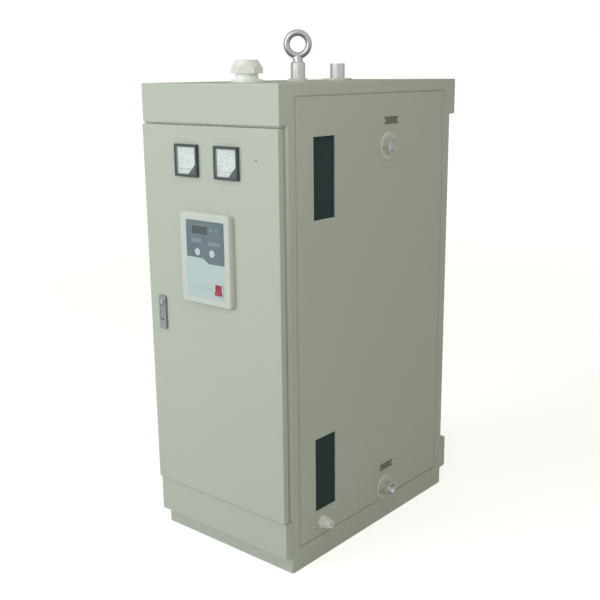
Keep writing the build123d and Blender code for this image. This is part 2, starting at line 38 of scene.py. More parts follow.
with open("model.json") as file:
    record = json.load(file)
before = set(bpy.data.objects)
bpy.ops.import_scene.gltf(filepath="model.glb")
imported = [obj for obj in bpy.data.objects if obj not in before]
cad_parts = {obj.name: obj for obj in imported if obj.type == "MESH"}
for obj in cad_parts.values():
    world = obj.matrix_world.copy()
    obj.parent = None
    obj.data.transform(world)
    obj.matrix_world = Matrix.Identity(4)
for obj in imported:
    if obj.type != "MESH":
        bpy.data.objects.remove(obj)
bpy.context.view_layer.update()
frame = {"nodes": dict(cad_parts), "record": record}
NODES = frame["nodes"]

MM = 0.001
PORTS = ("outlet_pipe", "inlet_pipe")
WHITE = (1.0, 1.0, 1.0)

# Turns that point +Z to one side of the cabinet
QUARTER = math.pi / 2
UNTURNED = (0, 0, 0)
TO_RIGHT = (0, QUARTER, 0)
TO_FRONT = (QUARTER, 0, 0)
TO_REAR = (-QUARTER, 0, 0)

# Print on the membrane, in millimetres from its foot and its middle line
FIELD_EDGE = (120.5, 105.5)
FIELD_STEP = (-17, 18)
FIELD_BARS = ((-59, -16, 166, 180), (13, 62, 161, 173), (20, 35, 204, 212), (41, 54, 204, 212))
FAINT_RULE = (-62, 22, 27.5, 30)
DISPLAY_LINE = (3.5, 1.0)
KEY_PLACES = ((-33.4, 137.8), (27.7, 137.8))
KEY_RADIUS = 11
KEY_STROKE = (1.2, 1.6)
KEY_STROKE_END = (5.5, 6.0)

# Height of a vent opening and radius of a pipe's bore in millimetres, and facets of its thread
VENT_HEIGHT = 240
PIPE_BORE = 20.95
THREAD_STEPS = 36

# Screws, in millimetres from the edges of their panel (lower, upper, front and rear on the side
# panel), and the lean of a rosette's pair
SIDE_SCREW_INSETS = (20, 24, 25, 9)
REAR_SCREW_INSET = 16
ROSETTE_SCREW_LEAN = 0.15

# Places in millimetres: labels behind their pipes, the lock's cylinder above the middle of its
# plate, and the door's plug across and up
LABEL_SHIFTS = {"outlet_pipe": 13.5, "inlet_pipe": 8}
CYLINDER_RISE = 35
PLUG_PLACE = (196.8, 1265.6)

# Meter print in millimetres: ticks by length, thickness and number, numerals and the unit letter
TICKS = ((4.0, 0.35, 25), (6.5, 0.7, 5))
NUMERALS = 6
NUMERAL_INSET = 6
NUMERAL_SIZE = 5.6
UNIT_PLACE = (-0.42, 0, 0.42)
UNIT_SIZE = 11

# Soft lamps in metres: place, aim and side of the square
KEY_LAMP = ((-2.0, -4.2, 2.25), (0, 0, 0.8), 2.6)
SIDE_LAMP = ((1.5, -1.3, 2.4), (0.28, -0.35, 1.3), 1.2)
SHINE_LAMP = ((-0.2, -3.0, 2.7), (0, 0, 1.55), 3.4)
FLOOR_SIDE = 400


def metres(values):
    """Lengths in metres from millimetres."""
    return [value * MM for value in values]


def linear(red, green, blue):
    """Linear colour from the 0 to 255 values that a screen shows."""
    shares = [value / 255 for value in (red, green, blue)]
    return [s / 12.92 if s <= 0.04045 else ((s + 0.055) / 1.055) ** 2.4 for s in shares]


def tint(name, description, shade):
    """Colour setting with a picker, from linear values."""
    return FloatVectorProperty(
        name=name, description=description, subtype="COLOR", size=3, min=0, max=1, default=shade
    )


def colour(name, description, *screen):
    """Colour setting with a picker, from screen values."""
    return tint(name, description, linear(*screen))


def number(name, description, default, **kind):
    """Number setting of a kind."""
    return FloatProperty(name=name, description=description, default=default, **kind)


def length(name, description, millimetres):
    """Length setting, shown in the scene's units."""
    return number(name, description, millimetres * MM, min=0, unit="LENGTH", precision=4)


def angle(name, description, degrees):
    """Angle setting, written here in degrees."""
    return number(name, description, math.radians(degrees), subtype="ANGLE")


def power(name, description, watts):
    """Power setting of a lamp."""
    return number(name, description, watts, subtype="POWER")


def share(name, description, amount):
    """Setting between none and all."""
    return number(name, description, amount, min=0, max=1, subtype="FACTOR")


class BoilerColours(bpy.types.PropertyGroup):
    """Colours of the cabinet's finishes."""

    paint: colour("Paint", "Powder coat on the cabinet", 190, 197, 187)
    zinc: colour("Zinc", "Galvanised inner plates", 176, 182, 184)
    filter: colour("Filter", "Vent filter pads and their mesh", 84, 120, 120)
    screw: colour("Screws", "Dull zinc screws and pivot pins", 132, 137, 130)
    # In the bores of the pipes this colour is partly painted light that brightens the mouths
    steel: colour("Steel", "Roof stub and the bores of the pipes", 212, 213, 211)
    port: colour("Ports", "Outside of the two water ports", 198, 201, 194)
    rosette: colour("Rosettes", "Satin cover plates round the pipes", 208, 213, 202)
    eye: colour("Eye socket", "Bright socket of the lifting eye", 212, 213, 211)
    ring: colour("Lifting eye", "Zinc plated forging", 178, 181, 181)
    chrome: colour("Chrome", "Door lock plate", 158, 163, 163)
    # Chrome a little darker than the plate, as painted shade against the lever's brighter
    # reflection
    lever: colour("Lever", "Lever of the door lock", 150, 155, 155)
    white_plastic: colour("White plastic", "Filler and cable gland", 246, 248, 246)
    control: colour("Control frame", "Moulded frame of the control unit", 208, 213, 208)
    field_dark: colour("Upper field", "Printed upper field of the membrane", 95, 113, 124)
    field_pale: colour("Lower field", "Printed lower field of the membrane", 190, 208, 210)
    mark: colour("Markings", "Printed bars on the membrane", 124, 143, 151)
    key: colour("Keys", "Raised membrane keys", 205, 218, 222)
    display: colour("Display", "Unlit display glass", 84, 94, 96)
    meter_case: colour("Meter case", "Moulded meter cases", 62, 72, 76)
    dial: colour("Dial", "Printed dial plates", 229, 236, 239)
    ink: colour("Ink", "Scale marks on the dials", 138, 143, 152)
    red: colour("Rocker", "Power rocker", 158, 48, 72)
    seal: colour("Seals", "Painted seals round the panels", 176, 183, 171)
    lip: colour("Lips", "Seam lips above and below the door", 186, 193, 183)
    label: colour("Labels", "Bare port labels", 114, 118, 102)


class BoilerStage(bpy.types.PropertyGroup):
    """Camera, lights and floor."""

    camera_place: FloatVectorProperty(
        name="Camera place",
        description="Where the camera stands",
        subtype="XYZ",
        unit="LENGTH",
        size=3,
        default=(1.9533, -2.3356, 1.5044),
    )
    yaw: angle("Yaw", "Turn of the camera round the upright axis", 40.48)
    pitch: angle("Pitch", "How far the camera looks down", 14.00)
    roll: angle("Roll", "Lean of the camera", -0.64)
    lens: number("Lens", "Focal length", 55.00, subtype="DISTANCE_CAMERA")
    sky: share("Sky strength", "Light from all round", 0.385)
    sky_tint: tint("Sky tint", "Colour of the light from all round", (0.97, 0.97, 0.83))
    key_power: power("Key power", "Soft light on the door", 100)
    key_tint: tint("Key tint", "Colour of the light on the door", (0.93, 0.98, 1.0))
    side_power: power("Side power", "Soft light on the upper part of the ports' side", 10.5)
    side_tint: tint("Side tint", "Colour of the light on the ports' side", (1.0, 0.98, 0.90))
    shine_power: power("Shine power", "Soft light that only gloss shows", 52)
    mouth_power: power("Mouth power", "Narrow light into each port, from the camera's side", 42)
    mouth_reach: length("Mouth reach", "How far a narrow light stands from its mouth", 800)
    mouth_cover: share("Mouth cover", "Share of a mouth's radius that its light covers", 0.92)
    mouth_blend: share("Mouth blend", "Softness of the edge of a narrow light", 0.3)
    backdrop: share("Backdrop", "Brightness behind the boiler, as polished metal mirrors it", 0.35)
    floor_glow: share("Floor glow", "White of the floor beyond the light that falls on it", 0.63)
    floor_mirror: share("Floor mirror", "Share of the floor's white that gloss mirrors", 0.4)
    floor_fade: share("Floor fade", "How much whiter the floor becomes far from the boiler", 0.12)


class BoilerDetails(bpy.types.PropertyGroup):
    """Sizes of the fine pieces."""

    screw_radius: length("Screw radius", "Pan heads on the panels", 4.0)
    screw_height: length("Screw height", "Pan heads on the panels", 2.2)
    rosette_screw_radius: length("Rosette screw radius", "Pan heads on the pipe rosettes", 3.0)
    rosette_screw_height: length("Rosette screw height", "Pan heads on the pipe rosettes", 1.6)
    rosette_screw_circle: length("Rosette screw circle", "Radius at which these heads sit", 34.0)
    label_width: length("Label width", "Bare port labels", 78)
    label_height: length("Label height", "Bare port labels", 23)
    label_thickness: length("Label thickness", "Bare port labels", 1.2)
    label_notch: length("Label notch", "Depth of the notch in each end", 10)
    label_rise: length("Label rise", "Height of a label over its pipe", 78)
    lip_setback: length("Lip setback", "Seam lips behind the face of their band", 6)
    lip_reach: length("Lip reach", "How far a seam lip closes the gap at the door", 3.8)
    lip_sheet: length("Lip sheet", "Thickness of the seam lips", 1.5)
    jamb_depth: length("Jamb depth", "How far the jambs stand out beside the door opening", 3)
    jamb_width: length("Jamb width", "Width of the jambs", 18)
    jamb_chamfer: length("Jamb chamfer", "Sloped outer edge of the jambs", 7)
    door_seal: length("Door seal", "Thickness of the seals on the jambs", 2.5)
    filler_side: length("Filler side", "Bars in the post corners at the rear bands", 9)
    seal_depth: length("Seal depth", "Panel seals below the face of their panel", 1)
    seal_sheet: length("Seal thickness", "Thickness of the panel seals", 4)
    mesh_wire: length("Mesh wire", "Radius of the vent mesh wires", 0.45)
    mesh_pitch: length("Mesh pitch", "Distance between the vent mesh wires", 3.2)
    scale_radius: length("Scale radius", "Arc of the meter scales", 55)
    pivot_inset: length("Pivot inset", "Needle pivot from the dial's middle, across and down", 25)
    thread_pitch: length("Thread pitch", "Pipe thread in the port mouths", 2.3)
    thread_depth: length("Thread depth", "Pipe thread in the port mouths", 1.1)
    thread_turns: IntProperty(
        name="Thread turns", description="Turns of thread in each mouth", default=8, min=1
    )


class Wire:
    """One value in a node tree. Arithmetic on it adds Math nodes."""

    def __init__(self, tree, socket=None):
        self.tree = tree
        self.socket = socket

    def node(self, kind, settings=None, inputs=None, output=0):
        """Adds a node, sets its own settings, then its sockets, and gives one of its outputs."""
        made = self.tree.nodes.new("ShaderNode" + kind)
        for name, value in (settings or {}).items():
            setattr(made, name, value)
        for name, value in (inputs or {}).items():
            if isinstance(value, Wire):
                self.tree.links.new(value.socket, made.inputs[name])
            else:
                made.inputs[name].default_value = value
        return Wire(self.tree, made.outputs[output] if made.outputs else None)

    def maths(self, operation, first, second=0.0):
        return self.node("Math", {"operation": operation}, {0: first, 1: second})

    def __add__(self, other):
        return self.maths("ADD", self, other)

    def __radd__(self, other):
        return self.maths("ADD", other, self)

    def __sub__(self, other):
        return self.maths("SUBTRACT", self, other)

    def __rsub__(self, other):
        return self.maths("SUBTRACT", other, self)

    def __mul__(self, other):
        return self.maths("MULTIPLY", self, other)

    def __rmul__(self, other):
        return self.maths("MULTIPLY", other, self)

    def greater(self, other):
        return self.maths("MAXIMUM", self, other)

    def lesser(self, other):
        return self.maths("MINIMUM", self, other)

    def size(self):
        return self.maths("ABSOLUTE", self)

    def root(self):
        return self.maths("SQRT", self)

    def step(self, low, high):
        """0 below low, 1 above high and a smooth rise between."""
        inputs = {"Value": self, "From Min": low, "From Max": high}
        return self.node("MapRange", {"interpolation_type": "SMOOTHSTEP"}, inputs)

    def blend(self, first, second):
        """Colour between two others, with this value as the share of the second."""
        return self.node("Mix", {"data_type": "RGBA"}, {0: self, 6: first, 7: second}, 2)

    def axes(self):
        """X, Y and Z of a vector."""
        split = self.node("SeparateXYZ", None, {0: self}).socket.node
        return [Wire(self.tree, split.outputs[axis]) for axis in range(3)]

    def noise(self, scale, detail=2.0, roughness=0.5):
        """Soft noise about 0.5 at a scale in repeats a metre."""
        inputs = {"Vector": self, "Scale": scale, "Detail": detail, "Roughness": roughness}
        return self.node("TexNoise", None, inputs)

    def stretched(self, x, y, z):
        """The same place with each axis scaled."""
        return self.node("Mapping", None, {"Vector": self, "Scale": (x, y, z)})

    def bump(self, strength, distance, below=None):
        """Normal from this height."""
        inputs = {"Height": self, "Strength": strength, "Distance": distance}
        if below is not None:
            inputs["Normal"] = below
        return self.node("Bump", None, inputs)


def rgba(shade, level=1.0):
    """Four-part colour at a share of its brightness."""
    return (*(min(1.0, part * level) for part in shade), 1.0)


def begin(name):
    """Place on the surface, for the nodes of a new material to read."""
    material = bpy.data.materials.new(name)
    material.use_nodes = True
    material.node_tree.nodes.clear()
    place = Wire(material.node_tree).node("TexCoord", output="Object")
    place.material = material
    return place


def close(place, **sockets):
    """Feeds the shader's sockets, named with _ for a space, and gives the material."""
    inputs = {name.replace("_", " "): value for name, value in sockets.items()}
    shader = place.node("BsdfPrincipled", None, inputs)
    place.node("OutputMaterial", None, {"Surface": shader})
    return place.material


def powder_coat(shade):
    """Baked powder paint: a fine stipple, a slow drift of tone, and colour a little darker towards
    the floor.
    """
    place = begin("cabinet_paint")
    stipple = place.noise(520, 2.0)
    peel = place.noise(130, 1.0)
    drift = place.noise(2.2, 3.0)
    # Colour a little darker over the lowest 30 cm, towards the floor
    dust_and_low_darkening = 1 - place.axes()[2].step(0.0, 0.30)
    tone = drift * 0.7 + dust_and_low_darkening * 0.3
    base = tone.blend(rgba(shade, 1.03), rgba(shade, 0.95))
    skin = stipple.bump(0.10, 0.0004, peel.bump(0.08, 0.0012))
    return close(
        place,
        Base_Color=base,
        Roughness=0.36 + 0.10 * drift + 0.08 * stipple,
        Normal=skin,
    )


def galvanised(shade):
    """Hot dipped zinc with crystal spangle."""
    place = begin("galvanised")
    cells = place.node("TexVoronoi", None, {"Vector": place, "Scale": 70}, "Color").axes()
    cloud = place.noise(14, 3.0)
    tone = cells[0] * 0.6 + cloud * 0.4
    return close(
        place,
        Base_Color=tone.blend(rgba(shade, 0.82), rgba(shade, 1.05)),
        Metallic=1.0,
        Roughness=0.34 + 0.18 * cells[1] + 0.08 * cloud,
        Normal=cells[2].bump(0.05, 0.0004),
    )


def filter_foam(shade):
    """Open foam and its dusty skin."""
    place = begin("filter")
    pores = place.node("TexVoronoi", None, {"Vector": place, "Scale": 420}, "Distance")
    dust_and_low_darkening = place.noise(26, 4.0)
    tone = pores.step(0.15, 0.75) * 0.6 + dust_and_low_darkening * 0.4
    return close(
        place,
        Base_Color=tone.blend(rgba(shade, 0.62), rgba(shade, 1.25)),
        Roughness=0.82 + 0.12 * dust_and_low_darkening,
        Normal=pores.bump(0.6, 0.0015),
    )


def tool_lines(place, spread):
    """Fine lines along one direction, clouds from handling, and the tone of both."""
    lines = place.stretched(*spread).noise(1.0, 3.0, 0.6)
    cloud = place.noise(22, 3.0)
    return lines, cloud, lines * 0.5 + cloud * 0.5


def turned_steel(name, shade, spread, roughness, grain, metal=1.0):
    """Steel with fine tool lines, clouded by handling."""
    place = begin(name)
    lines, cloud, tone = tool_lines(place, spread)
    return close(
        place,
        Base_Color=tone.blend(rgba(shade, 0.88), rgba(shade, 1.06)),
        Metallic=metal,
        Roughness=roughness + grain * lines + 0.06 * cloud,
        Normal=lines.bump(0.06, 0.0003),
    )


def pipe_steel(bright, dull):
    """Turned pipe: the roof stub is bright and the ports are dull outside; the bore has the bright
    colour, partly as new zinc and partly as painted light in the mouths.
    """
    place = begin("pipe_steel")
    x, y, z = place.axes()
    reach = None
    for pipe in (*PORTS, "vent_stub"):
        middle = centre_of(pipe)
        first = y - middle.y
        second = z - middle.z if pipe in PORTS else x - middle.x
        radius = (first * first + second * second).root()
        reach = radius if reach is None else reach.lesser(radius)
    bore = 1 - reach.step((PIPE_BORE + 0.9) * MM, (PIPE_BORE + 1.4) * MM)
    lines, cloud, tone = tool_lines(place, (900, 60, 900))
    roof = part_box("roof")[0][2]
    above = z.step(roof - MM, roof)
    # In the bore the bright colour is partly painted light that brightens the port mouths
    shine = bore.greater(above)
    dim = shine.blend(rgba(dull, 0.88), rgba(bright, 0.88))
    clear = shine.blend(rgba(dull, 1.06), rgba(bright, 1.06))
    return close(
        place,
        Base_Color=tone.blend(dim, clear),
        Metallic=0.3 + above * 0.7 - bore * 0.2,
        Roughness=0.30 + 0.14 * lines + 0.06 * cloud + bore * 0.22,
        Normal=lines.bump(0.06, 0.0003),
    )


def moulded(name, shade, roughness, stipple_scale, stipple):
    """Moulded plastic with a fine spark-eroded skin."""
    place = begin(name)
    skin = place.noise(stipple_scale, 2.0)
    drift = place.noise(18, 2.0)
    return close(
        place,
        Base_Color=drift.blend(rgba(shade, 1.02), rgba(shade, 0.96)),
        Roughness=roughness + 0.10 * drift + 0.06 * skin,
        Normal=skin.bump(stipple, 0.0004),
    )


def membrane(shades):
    """Printed membrane: two fields with a stepped edge, keys, bars and a line round the display."""
    place = begin("membrane")
    x, _, z = place.axes()
    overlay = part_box("control_overlay")
    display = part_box("display_window")
    middle = (overlay[0][0] + overlay[1][0]) / 2
    base = overlay[0][2]
    soft = 0.3 * MM

    def outside(left, right, bottom, top):
        """How far a point lies outside a rectangle."""
        across = (x - (left + right) / 2).size() - (right - left) / 2
        upright = (z - (bottom + top) / 2).size() - (top - bottom) / 2
        return across.greater(upright)

    def bar(left, right, bottom, top):
        """1 inside a rectangle given in millimetres from the membrane's foot and middle line."""
        edges = (middle + left * MM, middle + right * MM, base + bottom * MM, base + top * MM)
        return 1 - outside(*edges).step(-soft, soft)

    upper, lower = metres(FIELD_EDGE)
    start, end = (middle + value for value in metres(FIELD_STEP))
    edge = base + upper - (upper - lower) * x.step(start, end)
    dark = (z - edge).step(-soft, soft)
    print_shade = dark.blend(rgba(shades.field_pale), rgba(shades.field_dark))
    marks = bar(*FIELD_BARS[0])
    for row in FIELD_BARS[1:]:
        marks = marks.greater(bar(*row))
    gap = outside(display[0][0], display[1][0], display[0][2], display[1][2])
    offset, half = metres(DISPLAY_LINE)
    line = 1 - (gap - offset).size().step(half - soft, half)
    print_shade = marks.greater(line * 0.8).blend(print_shade, rgba(shades.mark))
    print_shade = (bar(*FAINT_RULE) * 0.35).blend(print_shade, rgba(shades.field_dark))
    for across, up in KEY_PLACES:
        right = x - (middle + across * MM)
        rise = z - (base + up * MM)
        reach = (right * right + rise * rise).root()
        disc = 1 - reach.step(KEY_RADIUS * MM - soft, KEY_RADIUS * MM + soft)
        print_shade = disc.blend(print_shade, rgba(shades.key))
        stroke = 1 - (right + rise).size().step(*metres(KEY_STROKE))
        symbol = stroke * (1 - reach.step(*metres(KEY_STROKE_END)))
        print_shade = (symbol * 0.55).blend(print_shade, rgba(shades.field_dark))
    skin = place.noise(1600, 2.0)
    wear = place.noise(24, 2.0)
    return close(
        place,
        Base_Color=(wear * 0.12).blend(print_shade, rgba(shades.field_pale)),
        Roughness=0.40 + 0.08 * skin + 0.08 * wear,
        Normal=skin.bump(0.12, 0.0003),
    )


def label_paint(shade):
    """Dark enamel on a thin plate, rubbed a little paler in patches."""
    place = begin("label_plate")
    rub = place.noise(60, 4.0, 0.65)
    fine = place.noise(700, 2.0)
    return close(
        place,
        Base_Color=rub.step(0.45, 0.75).blend(rgba(shade, 0.9), rgba(shade, 1.35)),
        Roughness=0.42 + 0.16 * rub,
        Normal=fine.bump(0.08, 0.0002),
    )


def centre_of(node):
    """Middle of a node's box."""
    low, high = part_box(node)
    return (Vector(low) + Vector(high)) / 2


def deselect():
    """Leaves nothing selected."""
    bpy.ops.object.select_all(action="DESELECT")


def only(piece):
    """Makes one piece the selected and active one."""
    deselect()
    piece.select_set(True)
    bpy.context.view_layer.objects.active = piece


def added(kind, **settings):
    """Adds a primitive at its size and place."""
    deselect()
    getattr(bpy.ops.mesh, f"primitive_{kind}_add")(**settings)
    bpy.ops.object.transform_apply(location=True, rotation=True, scale=True)
    return bpy.context.object


def block(place, size, turn=UNTURNED):
    """Adds a cube drawn out to a size."""
    return added("cube", size=1, location=place, rotation=turn, scale=size)


def upright(middle, along):
    """Whether an edge runs up and down."""
    return abs(along.z) > 0.9


def upward(centre, normal):
    """Whether a face looks up."""
    return normal.z > 0.9


def choose(piece, mode, test):
    """Opens a piece for editing with the faces, edges or points selected that pass a test."""
    only(piece)
    bpy.ops.object.mode_set(mode="EDIT")
    bpy.ops.mesh.select_mode(type=mode)
    bpy.ops.mesh.select_all(action="DESELECT")
    bpy.ops.object.mode_set(mode="OBJECT")
    mesh = piece.data
    if mode == "FACE":
        for face in mesh.polygons:
            face.select = test(face.center, face.normal)
    elif mode == "EDGE":
        for edge in mesh.edges:
            start, end = (mesh.vertices[index].co for index in edge.vertices)
            edge.select = test((start + end) / 2, (end - start).normalized())
    else:
        for point in mesh.vertices:
            point.select = test(point.co)
    bpy.ops.object.mode_set(mode="EDIT")


def whole(piece):
    """Opens a piece for editing with all of it selected."""
    only(piece)
    bpy.ops.object.mode_set(mode="EDIT")
    bpy.ops.mesh.select_all(action="SELECT")


def shut():
    """Leaves editing."""
    bpy.ops.object.mode_set(mode="OBJECT")


def modified(piece, kind, **settings):
    """Adds a modifier and applies it."""
    only(piece)
    modifier = piece.modifiers.new(kind.lower(), kind)
    for name, value in settings.items():
        setattr(modifier, name, value)
    bpy.ops.object.modifier_apply(modifier=modifier.name)


def joined(pieces):
    """One piece from several."""
    deselect()
    for piece in pieces:
        piece.select_set(True)
    bpy.context.view_layer.objects.active = pieces[0]
    if len(pieces) > 1:
        bpy.ops.object.join()
    return pieces[0]


def spread(master, places):
    """Copies of a master, each with its own mesh, at places and turns, joined into one piece."""
    copies = []
    for place, turn in places:
        only(master)
        bpy.ops.object.duplicate()
        copy = bpy.context.object
        copy.location = place
        copy.rotation_euler = turn
        copies.append(copy)
    bpy.data.objects.remove(master)
    return joined(copies)


def settle(piece, name, finish="cabinet_paint", body="cabinet"):
    """Puts a piece's place into its mesh, and gives it its name, finish, body and slot."""
    only(piece)
    bpy.ops.object.transform_apply(location=True, rotation=True, scale=True)
    bpy.ops.object.shade_smooth_by_angle(angle=math.radians(35))
    piece.name = name
    piece.data.name = name
    piece.data.materials.clear()
    piece.data.materials.append(bpy.data.materials[finish])
    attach(piece, body)


class BOILER_OT_stage(bpy.types.Operator):
    """Pale floor, soft light, white surroundings and the camera."""

    bl_idname = "boiler.stage"
    bl_label = "Stage"

    def execute(self, context):
        settings = context.scene.boiler_stage
        self.lay_floor(settings)
        self.light(settings)
        self.set_camera(context, settings)
        context.scene.view_settings.view_transform = "Standard"
        return {"FINISHED"}

    def lay_floor(self, settings):
        """Matt floor that looks white and keeps the shadow."""
        deselect()
        bpy.ops.mesh.primitive_plane_add(size=FLOOR_SIDE, location=(0, 0, 0))
        floor = bpy.context.object
        floor.name = "studio_floor"
        place = begin("studio_floor")
        grain = place.noise(40, 2.0)
        camera, glossy, through = self.rays(place)
        seen = camera.greater(glossy * settings.floor_mirror).greater(through)
        shade = grain.blend(rgba([0.80] * 3), rgba([0.82] * 3))
        matt = place.node("BsdfDiffuse", None, {"Color": shade})
        x, y, _ = place.axes()
        far = (x * x + y * y).root().step(2.0, 8.0)
        strength = seen * (settings.floor_glow + far * settings.floor_fade)
        glow = place.node("Emission", None, {"Color": rgba(WHITE), "Strength": strength})
        both = place.node("AddShader", None, {0: matt, 1: glow})
        place.node("OutputMaterial", None, {"Surface": both})
        floor.data.materials.append(place.material)

    def rays(self, place):
        """1 for rays straight from the camera, rays off gloss and rays through glass."""
        path = place.node("LightPath").socket.node
        names = ("Is Camera Ray", "Is Glossy Ray", "Is Transmission Ray")
        return [Wire(place.tree, path.outputs[name]) for name in names]

    def light(self, settings):
        """White surroundings, three soft lamps and a narrow one for each port."""
        world = bpy.data.worlds.new("studio_sky")
        bpy.context.scene.world = world
        world.use_nodes = True
        world.node_tree.nodes.clear()
        start = Wire(world.node_tree)
        camera, glossy, through = self.rays(start)
        seen = camera.greater(through)
        x, y, _ = start.node("TexCoord", output="Object").axes()
        behind = (y * math.cos(settings.yaw) - x * math.sin(settings.yaw)).step(-0.1, 0.8)
        mirrored = 1 - behind * (1 - settings.backdrop)
        strength = seen.greater(glossy * mirrored)
        strength = strength.greater((1 - seen.greater(glossy)) * settings.sky)
        shade = seen.greater(glossy).blend(rgba(settings.sky_tint), rgba(WHITE))
        sky = start.node("Background", None, {"Color": shade, "Strength": strength})
        start.node("OutputWorld", None, {"Surface": sky})
        key = self.lamp("key_light", *KEY_LAMP, settings.key_power, settings.key_tint)
        side = self.lamp("side_light", *SIDE_LAMP, settings.side_power, settings.side_tint)
        key.visible_glossy = False
        side.visible_glossy = False
        shine = self.lamp("shine_light", *SHINE_LAMP, settings.shine_power, WHITE)
        shine.visible_diffuse = False
        for pipe in PORTS:
            self.mouth_lamp(settings, pipe)

    def mouth_lamp(self, settings, pipe):
        """Spot into a port, as slim as its mouth looks from the camera."""
        mouth = centre_of(pipe)
        mouth.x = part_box(pipe)[1][0]
        away = (Vector(settings.camera_place) - mouth).normalized()
        place = mouth + away * settings.mouth_reach
        light = (settings.mouth_power, settings.key_tint, "SPOT")
        spot = self.lamp(f"{pipe}_light", place, mouth, 0, *light)
        covered = settings.mouth_cover * PIPE_BORE * MM
        spot.data.spot_size = 2 * math.atan(covered / settings.mouth_reach)
        spot.data.spot_blend = settings.mouth_blend
        spot.scale.x = away.x

    def lamp(self, name, place, aim, size, power, shade, kind="AREA"):
        """Lamp at a place, turned to what it lights."""
        data = bpy.data.lights.new(name, kind)
        if kind == "AREA":
            data.size = size
        data.energy = power
        data.color = shade
        lamp = bpy.data.objects.new(name, data)
        bpy.context.scene.collection.objects.link(lamp)
        lamp.location = place
        lamp.rotation_euler = (Vector(aim) - Vector(place)).to_track_quat("-Z", "Y").to_euler()
        return lamp

    def set_camera(self, context, settings):
        """Camera at its fitted place and turn."""
        data = bpy.data.cameras.new("photo_camera")
        data.sensor_width = 36
        data.lens = settings.lens
        camera = bpy.data.objects.new("photo_camera", data)
        context.scene.collection.objects.link(camera)
        turn = Matrix.Rotation(settings.yaw, 4, "Z")
        turn @= Matrix.Rotation(QUARTER - settings.pitch, 4, "X")
        turn @= Matrix.Rotation(settings.roll, 4, "Z")
        camera.matrix_world = Matrix.Translation(settings.camera_place) @ turn
        context.scene.camera = camera


class BOILER_OT_finishes(bpy.types.Operator):
    """Gives every carried-over node its finish."""

    bl_idname = "boiler.finishes"
    bl_label = "Finishes"

    def execute(self, context):
        shades = context.scene.boiler_colours
        finishes = {
            "cabinet_paint": powder_coat(shades.paint),
            "galvanised": galvanised(shades.zinc),
            "filter": filter_foam(shades.filter),
            "pipe_steel": pipe_steel(shades.steel, shades.port),
            "membrane": membrane(shades),
            "meter_glass": self.clear_window(),
        }
        label_paint(shades.label)
        for row in (
            ("rosette_steel", shades.rosette, (300, 300, 300), 0.38, 0.16, 0.2),
            ("eye_steel", shades.eye, (160, 160, 160), 0.24, 0.14),
            ("ring_steel", shades.ring, (160, 160, 160), 0.20, 0.10),
            ("lock_chrome", shades.chrome, (240, 240, 40), 0.16, 0.10),
            # Lever chrome is the plate's chrome with painted shade against its brighter reflection
            ("lever_chrome", shades.lever, (240, 240, 40), 0.14, 0.08),
            ("screw_zinc", shades.screw, (900, 900, 900), 0.38, 0.14),
        ):
            finishes[row[0]] = turned_steel(*row)
        for row in (
            ("white_plastic", shades.white_plastic, 0.34, 900, 0.10),
            ("control_plastic", shades.control, 0.42, 1300, 0.16),
            ("display", shades.display, 0.12, 300, 0.02),
            ("meter_black", shades.meter_case, 0.40, 1300, 0.14),
            ("meter_dial", shades.dial, 0.52, 900, 0.04),
            ("rocker_red", shades.red, 0.26, 900, 0.06),
            ("dial_ink", shades.ink, 0.60, 900, 0.04),
            ("dark_plug", shades.meter_case, 0.45, 1300, 0.10),
            ("panel_seal", shades.seal, 0.55, 700, 0.10),
            ("seam_lip", shades.lip, 0.60, 700, 0.10),
        ):
            finishes[row[0]] = moulded(*row)
        own = {
            "door_pivot_pins": "screw_zinc",
            "lifting_eye": "ring_steel",
            "lock_lever": "lever_chrome",
        }
        for row in frame["record"]["subparts"]:
            slots = NODES[row["node"]].data.materials
            slots.clear()
            slots.append(finishes[own.get(row["node"], row["material_slot"])])
        return {"FINISHED"}

    def clear_window(self):
        """Clear pane with faint smears."""
        place = begin("meter_glass")
        smear = place.noise(30, 2.0)
        return close(
            place,
            Base_Color=rgba(WHITE),
            Roughness=0.04 + 0.05 * smear,
            Alpha=0.07 + 0.04 * smear,
        )


def pan_head(radius, height):
    """Screw head along +Z: a rounded disc with a cross recess."""
    head = added("cylinder", vertices=32, radius=radius, depth=height, location=(0, 0, height / 2))
    choose(head, "FACE", upward)
    bpy.ops.mesh.bevel(offset=height * 0.7, segments=4, affect="EDGES")
    shut()
    for turn in (0, QUARTER):
        bar = block((0, 0, height), (radius * 1.1, radius * 0.26, height * 1.2), (0, 0, turn))
        modified(head, "BOOLEAN", object=bar, operation="DIFFERENCE", solver="EXACT")
        bpy.data.objects.remove(bar)
    return head


